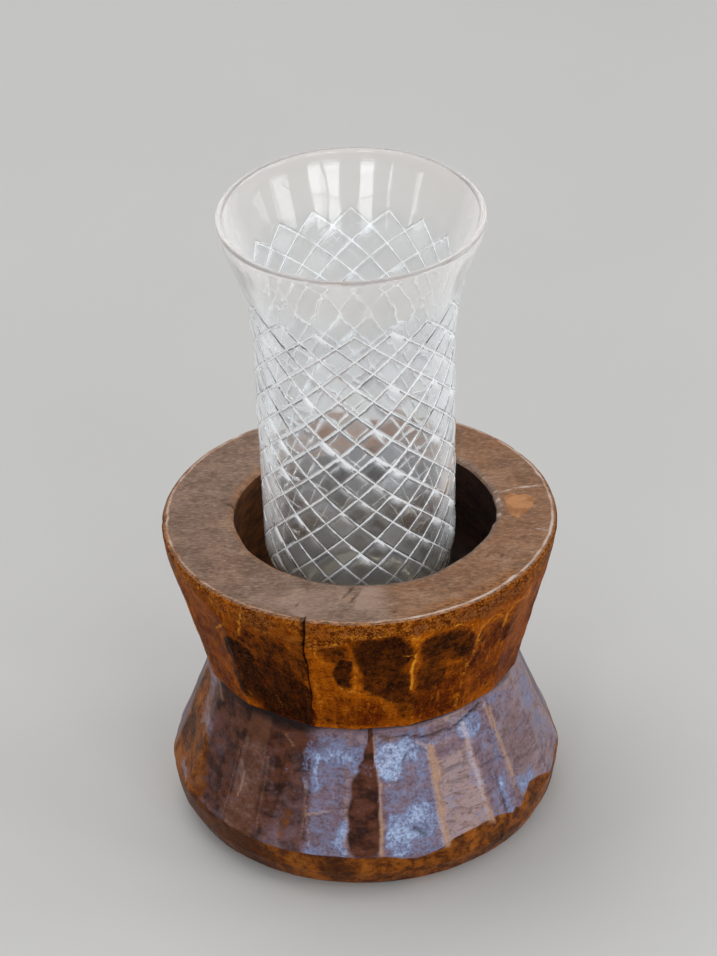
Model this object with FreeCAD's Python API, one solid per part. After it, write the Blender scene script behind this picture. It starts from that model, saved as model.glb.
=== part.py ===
# Propagation vase: a clear cut-glass vase that stands loose in the hollow of a hand-carved wooden stand.
# Sizes are in millimetres. +Z is up, the front faces -Y, and the origin is the middle of the stand's underside.

import FreeCAD, Part
import math
import os

# Overrun of every cutting body past the face that it cuts, and the closeness at which two places are one
overrun = 4.0
sewing_tolerance = 0.001

# A gentle bend of an outline is an arc, and a sharper turn is eased by short flats
gentle_bend_angle = 40.0
easing_flats = 3

# Wooden stand: heights above the ground, and radii of the block before the facets are cut
stand_height = 126.0
rim_radius = 75.0
rim_rounding = 2.0
rim_band_height = 6.0
rim_band_taper = 0.5
bowl_bulge_height = 113.5
bowl_bulge_radius = 73.7
bowl_edge_radius = 61.2
waist_height = 68.0
waist_radius = 57.4
waist_notch_height = 2.4
foot_widest_height = 21.0
foot_widest_radius = 74.8
foot_band_height = 11.0
foot_band_radius = 73.0
foot_turn_height = 4.0
foot_turn_radius = 69.4
ground_radius = 64.0

# Hollow of the stand, carved a little off its middle, with a flat floor as the vase's seat
hollow_depth = 38.0
hollow_mouth_radius = 50.0
hollow_mouth_bevel = 1.6
hollow_floor_radius = 47.0
hollow_floor_rounding = 14.0
hollow_offset_x = 2.1
hollow_offset_y = 1.9

# Adze strokes: the height of each row's middle, the length of a stroke, and how deep it hollows its facet
bowl_stroke_height = 95.5
bowl_stroke_length = 59.0
bowl_stroke_hollow = 0.35
bowl_stroke_flare = 1.0
foot_stroke_height = 40.8
foot_stroke_length = 52.0
foot_stroke_hollow = 0.4
waist_stroke_height = 56.5
waist_stroke_length = 22.0
waist_stroke_hollow = 0.9
stroke_overlap = 0.45

# First ridge of each row, in degrees from +X, and the widths of the facets as shares of a turn
bowl_first_ridge = 253.5
foot_first_ridge = 249.5
bowl_width_shares = (13, 18.5, 20, 17, 19, 22, 18, 21, 17, 20, 23, 18, 21, 19, 22, 20, 23, 29)
foot_width_shares = (14, 11, 19, 17, 11, 19, 18, 20, 16, 22, 14, 19, 17, 21, 15, 20, 18, 21, 19, 13, 15)

# Single cuts under the waist: the angle of each one's middle, in degrees from +X, and one width
waist_cut_angles = (280.5, 301.5, 331, 9, 45, 81, 116, 153, 190, 213)
waist_cut_width = 14.5

# Glass vase: heights above its own foot, and radii of its outside
vase_height = 169.6
lip_radius = 50.1
lip_thickness = 2.8
collar_height = 165.0
collar_radius = 49.6
collar_rounding = 24.0
neck_height = 133.5
neck_radius = 38.3
neck_rounding = 119.0
shoulder_height = 28.5
shoulder_radius = 36.4
shoulder_rounding = 30.0
foot_radius = 29.7
foot_rounding = 3.0
wall_thickness = 3.5
base_thickness = 8.0
base_rounding = 9.0
dish_radius = 22.0
dish_depth = 1.5
dish_flat_share = 0.85

# Diamond cutting: crossed V grooves all round the glass, from under the flare down to the foot
diamonds_around = 18
half_rows = 22
first_diamond_angle = 270.0
plain_band_height = 25.3
uncut_foot_height = 10.3
pattern_lean = 2.9
groove_depth = 0.70
groove_half_width = 0.80
pad_inset = 0.12


def point(radius, height):
    """Point of an outline in the X-Z plane."""
    return FreeCAD.Vector(radius, 0, height)


def turned(radius, angle, height):
    """Point at a radius, an angle in degrees and a height."""
    turn = math.radians(angle)
    return FreeCAD.Vector(radius * math.cos(turn), radius * math.sin(turn), height)


def corner_arc(before, corner, after):
    """Arc that rounds a corner of (radius, height, rounding), tangent to the runs on both sides of it."""
    middle = point(*corner[:2])
    back = (point(*before[:2]) - middle).normalize()
    ahead = (point(*after[:2]) - middle).normalize()
    half_angle = back.getAngle(ahead) / 2
    inward = (back + ahead).normalize() * (corner[2] / math.sin(half_angle) - corner[2])
    start = middle + back * (corner[2] / math.tan(half_angle))
    end = middle + ahead * (corner[2] / math.tan(half_angle))
    return Part.Arc(start, middle + inward, end)


def rounded_outline(corners):
    """Edges through corners of (radius, height, rounding): gentle bends as arcs, sharp turns as flats."""
    edges = []
    last = point(*corners[0][:2])
    for before, corner, after in zip(corners, corners[1:], corners[2:]):
        stops = [point(*corner[:2])]
        if corner[2] > 0:
            arc = corner_arc(before, corner, after)
            sweep = math.degrees(arc.length() / corner[2])
            if sweep > gentle_bend_angle:
                stops = arc.discretize(Number=easing_flats + 1)
            else:
                edges.append(Part.LineSegment(last, arc.StartPoint).toShape())
                edges.append(arc.toShape())
                last = arc.EndPoint
                stops = []
        for stop in stops:
            edges.append(Part.LineSegment(last, stop).toShape())
            last = stop
    edges.append(Part.LineSegment(last, point(*corners[-1][:2])).toShape())
    return edges


def turned_solid(corners):
    """Solid of revolution inside an outline whose first and last corners lie on the axis."""
    axis_run = Part.LineSegment(point(*corners[-1][:2]), point(*corners[0][:2])).toShape()
    face = Part.Face(Part.Wire(rounded_outline(corners) + [axis_run]))
    return face.revolve(FreeCAD.Vector(0, 0, 0), FreeCAD.Vector(0, 0, 1), 360)


def stand_block():
    """Hourglass block with its notched waist, before it is hollowed and faceted."""
    notch_top = waist_height + waist_notch_height / 2
    notch_bottom = waist_height - waist_notch_height / 2
    return turned_solid([
        (0, 0, 0),
        (ground_radius, 0, 0),
        (foot_turn_radius, foot_turn_height, 0),
        (foot_band_radius, foot_band_height, 0),
        (foot_widest_radius, foot_widest_height, 0),
        (waist_radius, notch_bottom, 0),
        (waist_radius, waist_height, 0),
        (bowl_edge_radius, notch_top, 0),
        (bowl_bulge_radius, bowl_bulge_height, 0),
        (rim_radius - rim_band_taper, stand_height - rim_band_height, 0),
        (rim_radius, stand_height, rim_rounding),
        (0, stand_height, 0),
    ])


def hollowed(block):
    """Block with the vase's hollow cut into it and the hollow's mouth bevelled."""
    floor = stand_height - hollow_depth
    hollow = turned_solid([
        (0, floor, 0),
        (hollow_floor_radius, floor, hollow_floor_rounding),
        (hollow_mouth_radius, stand_height, 0),
        (hollow_mouth_radius, stand_height + overrun, 0),
        (0, stand_height + overrun, 0),
    ])
    hollow.translate(FreeCAD.Vector(hollow_offset_x, hollow_offset_y, 0))
    block = block.cut(hollow)
    mouth = []
    for edge in block.Edges:
        on_top = edge.BoundBox.ZMin > stand_height - sewing_tolerance
        if on_top and abs(edge.Curve.Radius - hollow_mouth_radius) < sewing_tolerance:
            mouth.append(edge)
    return block.makeChamfer(hollow_mouth_bevel, mouth)


def stroke(angle, width, low, high, height, length, hollow):
    """Cutting body of one adze stroke: a shallow trough across the slope between two outline corners."""
    slope = (point(*high) - point(*low)).normalize()
    outward = FreeCAD.Vector(slope.z, 0, -slope.x)
    ridge_radius = low[0] + slope.x / slope.z * (height - low[1])
    chord_depth = ridge_radius * (1 - math.cos(math.radians(width / 2))) + stroke_overlap
    middle = point(ridge_radius - chord_depth, height)
    start = middle - slope * (length / 2) + outward * hollow
    end = middle + slope * (length / 2) + outward * hollow
    behind = outward * overrun
    section = Part.Wire([
        Part.Arc(start, middle, end).toShape(),
        Part.LineSegment(end, end + behind).toShape(),
        Part.LineSegment(end + behind, start + behind).toShape(),
        Part.LineSegment(start + behind, start).toShape(),
    ])
    reach = ridge_radius * math.sin(math.radians(width / 2)) + overrun
    section.translate(FreeCAD.Vector(0, -reach, 0))
    body = Part.Face(section).extrude(FreeCAD.Vector(0, 2 * reach, 0))
    body.rotate(FreeCAD.Vector(0, 0, 0), FreeCAD.Vector(0, 0, 1), angle)
    return body


def stroke_row(width_shares, first_ridge, low, high, height, length, hollow):
    """One row of adze strokes round the block, each as wide as its share of the turn."""
    strokes = []
    ridge = first_ridge
    for share in width_shares:
        width = 360.0 * share / sum(width_shares)
        strokes.append(stroke(ridge + width / 2, width, low, high, height, length, hollow))
        ridge += width
    return strokes


def wooden_stand():
    """Stand carved from one block: hollowed bowl, notched waist and flared foot, faceted all round."""
    bowl_low = (bowl_edge_radius, waist_height)
    bowl_high = (rim_radius + bowl_stroke_flare, stand_height - rim_band_height)
    foot_low = (foot_widest_radius, foot_widest_height)
    foot_high = (waist_radius, waist_height)
    strokes = stroke_row(bowl_width_shares, bowl_first_ridge, bowl_low, bowl_high,
                         bowl_stroke_height, bowl_stroke_length, bowl_stroke_hollow)
    strokes += stroke_row(foot_width_shares, foot_first_ridge, foot_low, foot_high,
                          foot_stroke_height, foot_stroke_length, foot_stroke_hollow)
    for angle in waist_cut_angles:
        strokes.append(stroke(angle, waist_cut_width, foot_low, foot_high,
                              waist_stroke_height, waist_stroke_length, waist_stroke_hollow))
    block = hollowed(stand_block())
    for body in strokes:
        block = block.cut(body)
    return block


def vase_outside():
    """Corners of the vase's outside, from its standing ring to its lip."""
    return [
        (foot_radius, 0, foot_rounding),
        (shoulder_radius, shoulder_height, shoulder_rounding),
        (neck_radius, neck_height, neck_rounding),
        (collar_radius, collar_height, collar_rounding),
        (lip_radius, vase_height, lip_thickness / 2 - sewing_tolerance),
    ]


def vase_inside():
    """Corners of the vase's inside, from its lip down to its thick base."""
    base_taper = (shoulder_radius - foot_radius) * base_thickness / shoulder_height
    return [
        (lip_radius - lip_thickness, vase_height, lip_thickness / 2 - sewing_tolerance),
        (collar_radius - lip_thickness, collar_height, collar_rounding),
        (neck_radius - wall_thickness, neck_height, neck_rounding),
        (shoulder_radius - wall_thickness, shoulder_height, shoulder_rounding),
        (foot_radius + base_taper - wall_thickness, base_thickness, base_rounding),
        (0, base_thickness, 0),
    ]


def vase_blank():
    """Blown glass before cutting: dished underside, thick base, flared wall and fire-rounded lip."""
    underside = [
        (0, dish_depth, 0),
        (dish_radius * dish_flat_share, dish_depth, 0),
        (dish_radius, 0, 0),
    ]
    return turned_solid(underside + vase_outside() + vase_inside())


def radius_at(outline, height):
    """Radius of an upright outline at a height, found by halving along the edge that spans it."""
    for edge in outline:
        low, high = edge.ParameterRange
        if edge.valueAt(low).z <= height <= edge.valueAt(high).z:
            while high - low > sewing_tolerance * (edge.LastParameter - edge.FirstParameter) / edge.Length:
                middle = (low + high) / 2
                if edge.valueAt(middle).z < height:
                    low = middle
                else:
                    high = middle
            return edge.valueAt(low).x
    raise ValueError("no outline at height " + str(height))


class Jacket:
    """Closed net of flat faces round the vase: its creases are the bottoms of the grooves.

    Steps count half pitches round the vase and rows count half diamonds down it. Two grooves cross
    where step and row are both even or both odd. Everywhere else is the middle of a diamond, whose
    four sides would meet in a peak well outside the glass, and which a flat pad cuts short.
    """

    def __init__(self):
        self.steps = 2 * diamonds_around
        self.outline = rounded_outline([(dish_radius, 0, 0)] + vase_outside() + vase_inside()[:2])
        self.top = vase_height - plain_band_height
        self.row_height = (self.top - uncut_foot_height) / half_rows
        half_pitch = neck_radius * math.pi / diamonds_around
        side_reach = half_pitch * self.row_height / math.hypot(half_pitch, self.row_height)
        self.peak_rise = side_reach * groove_depth / groove_half_width
        self.pad_share = (groove_depth - pad_inset) / self.peak_rise
        self.points = []
        self.places = {}
        self.triangles = []

    def place(self, name, position):
        """Number of a named point, which is added once."""
        if name not in self.places:
            self.places[name] = len(self.points)
            self.points.append(position)
        return self.places[name]

    def angle(self, step):
        """Angle of a step round the vase."""
        return first_diamond_angle + 360.0 * step / self.steps

    def crest(self, step, row):
        """Groove crossing or diamond peak at a step of a row; the rows lean a little to the back."""
        step %= self.steps
        lean = pattern_lean * math.sin(math.radians(self.angle(step)))
        height = self.top - row * self.row_height + lean
        rise = self.peak_rise - groove_depth if (step + row) % 2 else -groove_depth
        position = turned(radius_at(self.outline, height) + rise, self.angle(step), height)
        return self.place((step, row), position)

    def ring(self, step, height):
        """Point of a plain ring well clear of the glass."""
        step %= self.steps
        position = turned(lip_radius + 2 * overrun, self.angle(step), height)
        return self.place((step, height, "ring"), position)

    def pad_corner(self, crossing, peak):
        """Corner of a diamond's pad, where its edge leaves the surface of the glass."""
        position = self.points[crossing] + (self.points[peak] - self.points[crossing]) * self.pad_share
        return self.place((crossing, peak, "pad"), position)

    def add_diamond(self, step, row):
        """Four sloping sides and a pad that is folded down its middle."""
        peak = self.crest(step, row)
        crossings = [
            self.crest(step, row - 1),
            self.crest(step - 1, row),
            self.crest(step, row + 1),
            self.crest(step + 1, row),
        ]
        pads = [self.pad_corner(crossing, peak) for crossing in crossings]
        for side in range(4):
            after = (side + 1) % 4
            self.triangles.append((crossings[side], crossings[after], pads[after]))
            self.triangles.append((crossings[side], pads[after], pads[side]))
        self.triangles.append((pads[0], pads[1], pads[2]))
        self.triangles.append((pads[0], pads[2], pads[3]))

    def add_end(self, row, inner_row, ring_height, lid_height):
        """Outer half of the last grooves, their run-outs, and a plain wall and lid clear of the glass."""
        middle = self.place((lid_height, "lid"), FreeCAD.Vector(0, 0, lid_height))
        faces = []
        for step in range(row % 2, self.steps, 2):
            left = self.crest(step, row)
            peak = self.crest(step + 1, row)
            right = self.crest(step + 2, row)
            inner = self.crest(step + 1, inner_row)
            near = self.ring(step, ring_height)
            far = self.ring(step + 2, ring_height)
            near_lid = self.ring(step, lid_height)
            far_lid = self.ring(step + 2, lid_height)
            faces += [
                (left, inner, peak), (inner, right, peak),
                (left, peak, near), (peak, far, near), (peak, right, far),
                (near, far, far_lid), (near, far_lid, near_lid), (near_lid, far_lid, middle),
            ]
        if inner_row < row:
            faces = [(a, c, b) for a, b, c in faces]
        self.triangles += faces

    def solid(self):
        """Jacket as one closed solid."""
        for row in range(1, half_rows):
            for step in range(1 - row % 2, self.steps, 2):
                self.add_diamond(step, row)
        self.add_end(0, 1, self.top + 2 * overrun, vase_height + overrun)
        self.add_end(half_rows, half_rows - 1, uncut_foot_height - overrun, -overrun)
        shell = Part.Shape()
        shell.makeShapeFromMesh((self.points, self.triangles), sewing_tolerance, True)
        return Part.makeSolid(shell).removeSplitter()


def glass_vase():
    """Cut-glass vase standing on the floor of the stand's hollow."""
    vase = vase_blank().common(Jacket().solid())
    vase.translate(FreeCAD.Vector(0, 0, stand_height - hollow_depth))
    return vase


def export(name, shape):
    """Writes one piece as a STEP file and prints its volume."""
    solid = shape.Solids[0]
    solid.exportStep(os.path.join("parts", name + ".step"))
    print(name, len(shape.Solids), "solid, valid", solid.isValid(), "volume", round(solid.Volume))


os.makedirs("parts", exist_ok=True)
export("wooden_stand", wooden_stand())
export("glass_vase", glass_vase())
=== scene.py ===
# Looks of the propagation vase: a clear cut-glass vase that stands loose in a hand-carved wooden stand.
# Named sizes are in millimetres, as in the solids' source, and the meshes are written in metres.

import math

import bpy
import numpy as np
from mathutils import Matrix, Vector


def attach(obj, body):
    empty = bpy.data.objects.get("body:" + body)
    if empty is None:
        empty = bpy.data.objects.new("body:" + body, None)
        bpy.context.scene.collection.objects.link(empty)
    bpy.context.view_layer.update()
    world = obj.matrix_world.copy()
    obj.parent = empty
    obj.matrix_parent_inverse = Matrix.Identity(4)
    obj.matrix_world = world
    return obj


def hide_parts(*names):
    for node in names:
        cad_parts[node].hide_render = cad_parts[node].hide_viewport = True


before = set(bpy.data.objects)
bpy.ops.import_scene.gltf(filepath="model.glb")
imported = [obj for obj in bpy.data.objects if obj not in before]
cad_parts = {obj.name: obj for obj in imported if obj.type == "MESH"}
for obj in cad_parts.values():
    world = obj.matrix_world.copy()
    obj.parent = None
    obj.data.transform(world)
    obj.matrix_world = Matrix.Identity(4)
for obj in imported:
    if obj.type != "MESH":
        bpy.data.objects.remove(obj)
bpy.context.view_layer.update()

millimetre = 0.001

# Stand: outline of the block as (radius, height), from the ground to the rim
stand_height = 126.0
rim_radius = 75.0
rim_rounding = 2.0
waist_height = 68.0
waist_radius = 57.4
bowl_edge_radius = 61.2
foot_widest = (74.8, 21.0)
block_outline = (
    (64.0, 0.0), (69.4, 4.0), (73.0, 11.0), foot_widest, (waist_radius, 66.8), (waist_radius, waist_height),
    (bowl_edge_radius, 69.2), (73.7, 113.5), (74.5, 120.0), (rim_radius, 124.0),
)

# Hollow of the stand, carved a little off its middle
floor_height = 87.95
mouth_radius = 50.0
mouth_bevel = 1.6
mouth_rounding = 1.5
floor_radius = 47.0
floor_rounding = 14.0
hollow_middle = (2.1, 1.9)

# Adze strokes: facet widths from the first ridge on, in degrees from +X, and single cuts under the waist
stroke_overlap = 0.45
stroke_reach = 50
bend_passes = 4
bowl_softness = 0.05
foot_softness = 0.11
bowl_first_ridge = 253.5
bowl_widths = (13, 18.5, 20, 17, 19, 22, 18, 21, 17, 20, 23, 18, 21, 19, 22, 20, 23, 29)
foot_first_ridge = 249.5
foot_widths = (14, 11, 19, 17, 11, 19, 18, 20, 16, 22, 14, 19, 17, 21, 15, 20, 18, 21, 19, 13, 15)
waist_cut_angles = (280.5, 301.5, 331, 9, 45, 81, 116, 153, 190, 213)
waist_cut_width = 14.5

# Rows: slope from (radius, height) to (radius, height), then a stroke's middle height, length and hollow
bowl_stroke = ((bowl_edge_radius, waist_height), (76.0, 120.0), 95.5, 59.0, 0.35)
foot_stroke = (foot_widest, (waist_radius, waist_height), 40.8, 52.0, 0.4)
waist_stroke = (foot_widest, (waist_radius, waist_height), 56.5, 22.0, 0.9)

# Mesh of the stand: columns as (from, to, step) in degrees and beside the drying crack, rows as heights
front_columns = (213, 345, 0.6)
back_columns = (345, 573, 1.1)
crack_angle = 253.0
crack_columns = (-0.8, -0.5, -0.32, -0.16, 0.0, 0.16, 0.32, 0.5, 0.8)
ground_spacing = 1.1
flank_spacing = 0.8
waist_rows = (66.5, 66.8, 67.3, 67.8, 68.1, 68.5, 68.9, 69.2, 69.5)
rim_rows = (124.0, 124.5, 125.0, 125.35, 125.65, 125.85, 125.96, 126.0)
top_spacings = 23
hollow_spacing = 1.5
bottom_shares = (0.02, 0.3, 0.6, 0.85, 0.96)

# Where the rim's wood starts on the flank, and the hollow's wood below the rim's top
rim_wood_height = 125.2
hollow_wood_depth = 1.2

# Paint of the bowl. Spots are (angle, height, half width in degrees, half height, strength) and lines are
# (angle, height, angle, height, half width, strength).
paint_radius = 70.0
spot_power = 2.6
bowl_stains = (
    (275.5, 110.5, 10, 9.5, 1.0), (276.5, 103, 8.6, 6, 0.95), (277, 96, 8.6, 10, 0.85),
    (281, 87, 4.6, 5, 0.7), (261.5, 111, 4.8, 5.5, 0.58), (263.4, 101, 2.8, 8.5, 0.85),
    (295, 108.5, 8.6, 8.5, 0.85), (301.5, 105, 5.2, 7, 0.75), (292, 97, 6.2, 12, 0.78),
    (291, 82, 4.5, 8, 0.42), (284.3, 80, 3.8, 7.5, 0.62), (312.5, 108, 4.9, 5.5, 0.5),
    (323.5, 105, 6, 10, 0.4), (227, 98, 6, 7.5, 1.1), (227.5, 85, 7, 13, 0.95), (235, 76, 5, 8, 0.9),
    (243, 88, 8.5, 14, 0.84), (250, 79, 3, 13, 1.0), (250.6, 99, 2.4, 7, 0.75), (243, 73, 8, 4, 0.85),
    (216, 121, 5, 3.5, 0.5), (238, 94, 15, 22, 0.62), (247, 104, 6, 9, 0.45), (241, 112, 12, 7, 0.4),
    (238, 110, 5, 6, 0.4), (300, 74, 4, 3.5, 0.4), (308, 94, 3, 5, 0.35), (259, 74, 4, 4, 0.22),
    (265, 86, 5, 3, 0.2), (333, 104, 5, 10, 0.3), (299, 92, 4, 6, 0.4), (247, 117, 7, 5, 0.42),
    (251, 108, 2.6, 10, 0.5), (236, 118, 5, 4, 0.35), (244, 108, 3, 5, 0.5),
)
bowl_lines = (
    (285.4, 108, 285.1, 89, 0.8, 1.0), (267.8, 106, 266.9, 91, 1.2, 0.6),
    (286, 108.5, 281.5, 108.2, 0.7, 0.6), (286.5, 117, 283, 117.5, 1.0, 0.8),
    (304.6, 95, 303.4, 72, 1.5, 0.55), (318, 111, 317.4, 92, 1.9, 0.55), (307.6, 112, 306.5, 96, 1.8, 0.5),
    (290.4, 87, 289.8, 71, 0.9, 0.45), (308, 114, 329, 114.5, 2.0, 0.55), (331, 117, 331.4, 100, 1.4, 0.5),
    (313, 96, 310, 74, 2.6, 0.4), (322, 92, 318, 76, 3.0, 0.4), (233.2, 91, 239.8, 74.5, 0.5, 0.55),
    (232.6, 121, 229.4, 109, 1.0, 0.7), (224.6, 112, 219, 105.5, 0.9, 0.8), (255, 96, 256, 72, 1.6, 0.5),
    (262, 93, 272, 89, 1.6, 0.6), (272, 88, 279, 83, 1.6, 0.5), (226, 77, 227.5, 74, 1.2, 0.5),
    (298, 98, 306, 99.5, 0.8, 0.35), (210, 108, 202, 98, 1.4, 0.4),
)
bowl_browns = (
    (240, 82, 14, 18, 0.8), (226, 112, 9, 9, 0.3), (296, 82, 10, 16, 0.45), (312, 92, 12, 20, 0.45),
    (216, 88, 11, 20, 0.35), (331, 92, 13, 24, 0.35), (250, 74, 4, 8, 0.9), (276, 74, 8, 4, 0.25),
    (247, 108, 8, 6, 0.2), (266, 78, 13, 9, 0.45), (298, 78, 12, 10, 0.6), (208, 94, 14, 26, 0.4),
)
bowl_veils = (
    (286, 121, 2.8, 3.2, 0.5), (314, 119.5, 11, 4, 0.5), (257, 122.5, 6, 2.4, 0.4),
    (301, 122, 3.5, 3.5, 0.5), (270, 122.5, 7, 2, 0.4), (293, 122.5, 5, 2, 0.35), (241, 123, 8, 2, 0.4),
)

# Paint of the foot in the same order: red-brown, painted blue-white sheen, orange-brown, pale lines, creases
foot_umber = (
    (268.9, 31, 5.3, 13.5, 1.0), (269.4, 44, 4.7, 7, 1.0), (270.4, 50, 3.4, 5.5, 1.0),
    (271.2, 56, 2.0, 6, 1.0), (271.8, 62, 1.3, 6, 1.0), (214, 44, 11, 26, 0.72), (246, 42, 6, 30, 0.62),
    (232, 24, 12, 9, 0.5), (234, 62, 16, 5, 0.55), (230, 42, 16, 27, 0.62), (329, 43, 6.5, 8, 0.32),
    (205, 58, 10, 10, 0.7), (240, 48, 3.4, 10, 0.8), (255, 29, 6, 7, 0.25), (224, 61, 30, 8, 0.85),
    (216, 8, 29, 15, 0.8), (332, 41, 8, 13, 0.3), (240, 6, 8, 7, 0.5),
)
foot_sheens = (
    (250.6, 52, 3.4, 11, 0.95), (258, 58, 8.5, 6, 0.74), (266, 56, 4.5, 6, 0.72), (256.5, 45, 6.5, 5, 0.5),
    (262.1, 26, 1.7, 7.5, 1.0), (255.5, 35, 5, 1.6, 0.5), (278.4, 54, 5.2, 8.5, 1.15),
    (285, 57.5, 4.8, 4.4, 1.0), (279, 27, 5, 9.5, 1.1), (287, 31, 6, 8, 0.95), (284, 21, 7, 3.5, 0.7),
    (308.9, 42, 2.2, 21, 0.5), (299, 58.5, 7, 2.2, 0.55), (311.5, 58.5, 6.5, 4.6, 0.85),
    (309, 40, 1.8, 19, 0.45), (317.9, 28, 1.7, 8, 0.75), (329, 27, 5.4, 4.2, 0.8), (324, 62.5, 8, 2.6, 0.5),
    (331, 55, 8, 5, 0.3), (345, 47, 7, 12, 0.35), (206.5, 38, 2.6, 3, 0.5),
)
foot_orange = (
    (186, 40, 8, 22, 0.9), (199, 34, 9, 11, 1.0), (243.6, 29, 2.2, 8, 0.5), (204, 27, 7, 8, 0.7),
    (190, 50, 9, 10, 0.5), (322, 19, 5, 4, 0.9),
)
foot_lines = (
    (274.4, 46, 273.6, 20, 0.75, 1.0), (272.6, 64, 274.2, 47, 0.55, 0.85),
    (293.2, 57, 293.6, 20, 1.75, 1.0), (294.4, 56, 294.8, 44, 1.6, 0.9), (308.3, 60, 309.8, 22, 2.0, 0.8),
    (322.2, 60, 322.9, 33, 1.3, 0.85), (320.4, 63, 321, 54, 1.6, 0.8), (263.3, 44, 263.2, 21, 0.5, 0.55),
    (248.8, 46, 251.8, 22, 0.55, 0.55), (225.6, 42, 224.8, 32, 0.7, 0.7), (250, 33.4, 258, 36, 0.7, 0.7),
    (289, 59.5, 292.5, 57, 1.2, 0.7), (297, 43, 303, 44, 0.6, 0.6), (297.5, 33.5, 304, 35, 0.5, 0.5),
    (277, 44.5, 281.5, 49.5, 0.7, 0.5), (239.5, 61, 243, 57.5, 0.7, 0.6), (274, 63.8, 283, 62.6, 0.6, 0.6),
    (205, 60, 196, 64, 1.2, 0.6), (224, 27, 232, 27.5, 1.2, 0.35),
)
foot_creases = (
    (275, 63.6, 290, 61.6, 0.45, 0.7), (290, 61.6, 303, 60.4, 0.5, 0.9), (303, 60.4, 318, 64.6, 0.5, 0.9),
    (283, 66.9, 326, 66.9, 0.5, 0.9), (296, 47, 306.5, 46.2, 0.5, 0.55), (298, 41.2, 306, 40.6, 0.5, 0.45),
    (281.8, 52.5, 285.4, 56.4, 0.45, 0.6), (285.4, 56.4, 291, 56.8, 0.4, 0.5),
    (284.6, 28.5, 287.6, 25, 0.7, 0.8), (311.5, 43, 320, 42, 0.6, 0.4), (240.5, 55, 239.5, 33, 0.6, 0.5),
    (225, 55, 225.4, 44, 0.6, 0.4), (313.8, 18, 314.6, 10, 0.5, 0.8), (328, 36, 334, 33.5, 0.5, 0.4),
)

# Foot's facets in the order of their widths, and cuts under the waist: share of painted blue-white sheen, and
# colour from violet at 0 to taupe at 1
foot_sheen_shares = (
    0.5, 0.0, 0.5, 0.25, 0.4, 0.25, 0.3, 0.25, 0.4, 0.15, 0.35, 0.3, 0.1, 0.4, 0.25, 0.35, 0.2, 0.3,
    0.0, 0.0, 0.0,
)
waist_sheen_shares = (1.0, 0.75, 0.6, 0.4, 0.6, 0.5, 0.7, 0.4, 0.2, 0.1)
foot_taupe_shares = (
    0.1, 0.0, 0.25, 1.0, 0.1, 0.45, 0.5, 0.3, 0.7, 0.2, 0.9, 0.4, 0.6, 0.1, 0.8, 0.4, 0.2, 0.6,
    0.35, 0.75, 0.4,
)
waist_taupe_share = 0.3

# Round the stand, as (angles, values): top of the foot's orange edge, and how pale the rim's edge is worn
orange_edge = (
    (190, 240, 262, 275, 284, 290, 296, 312, 320, 330, 345),
    (22, 19, 19.5, 19, 16.5, 18, 21.5, 23, 20, 25, 21),
)
rim_wear = ((0, 40, 180, 225, 250, 272, 288, 320, 360), (0.9, 0.8, 0.8, 0.7, 0.55, 0.6, 0.95, 1.0, 0.9))

# Middles of the facets that the photograph shows, in degrees
shown_bowl = (200, 338)
shown_foot = (190, 340)

# Rim's top, in millimetres from the stand's middle: corners of the flaked patch, pits as (x, y, length,
# width), the notch in the hollow's edge, pale chips on that edge, and the angle where it is chipped
flake_corners = ((55.6, 9.6), (55.8, -1.2), (59.6, -6.0), (65.0, 1.0), (67.6, 6.8), (64.2, 9.6), (58.4, 12.0))
rim_pits = (
    (-4.2, -51.4, 2.2, 0.6), (-3.2, -57.0, 2.6, 0.5), (-6.4, -55.0, 1.4, 0.5), (-24, -60, 1.4, 0.5),
    (12, -66, 1.3, 0.45), (50.2, -28.6, 1.7, 0.45), (53.0, -31.0, 1.3, 0.4), (47.6, -30.4, 1.2, 0.4),
)
notch_place = (-48.2, 8.2)
pale_chips = ((52.6, 7.3), (52.6, -2.8))
chipped_angle = 3

# Vase: corners of its outside and inside as (radius, height, rounding), heights above its own foot
vase_floor = 88.0
vase_height = 169.6
vase_outside = (
    (29.7, 0.0, 3.0), (36.4, 28.5, 30.0), (38.3, 133.5, 119.0), (49.6, 165.0, 24.0), (50.1, 169.6, 1.39),
)
vase_inside = (
    (47.3, 169.6, 1.39), (46.8, 165.0, 24.0), (34.8, 133.5, 119.0), (32.9, 28.5, 30.0), (28.1, 8.0, 9.0),
    (0.0, 8.0, 0.0),
)
dish_radius = 22.0
dish_depth = 1.5
under_dish = ((dish_radius, 0.0), (20.8, 0.55), (18.7, dish_depth), (12.0, dish_depth), (6.0, dish_depth))

# Mesh of the vase's plain ends, and how far the lip's own glass reaches down
ring_spacing = 1.6
flare_end = 166.5
lip_start = 167.0
lip_depth = 2.6

# Glass: how it bends light, and the share of a lamp's light behind it
glass_index = 1.5
light_through_glass = (0.93, 0.93, 0.93, 1)

# Diamond cutting of the vase
diamonds_around = 18
half_step = 180 / diamonds_around
half_rows = 22
first_diamond_angle = 270.0
pattern_top = 144.3
pattern_bottom = 10.3
pattern_lean = 2.9
groove_depth = 0.70
groove_shares = (0.0, 0.045, 0.09, 0.12, 0.22, 0.36, 0.5, 0.64, 0.78, 0.88, 0.91, 0.955, 1.0)
groove_half_share = 0.09
pad_tilt = 0.3
plain_top = 152.0
plain_bottom = 3.6


def smooth(value, low, high):
    """Soft step from 0 at low to 1 at high."""
    share = np.clip((value - low) / (high - low), 0, 1)
    return share * share * (3 - 2 * share)


def within(value, low, low_end, high, high_end):
    """Soft step up, and down again."""
    return smooth(value, low, low_end) * (1 - smooth(value, high, high_end))


def bell(offset, width):
    """1 at no offset, fading over a width."""
    return np.exp(-(offset / width) ** 2)


def turned(angles, start):
    """Angles from a start, from -180 to 180 degrees."""
    return (angles - start + 180) % 360 - 180


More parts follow.
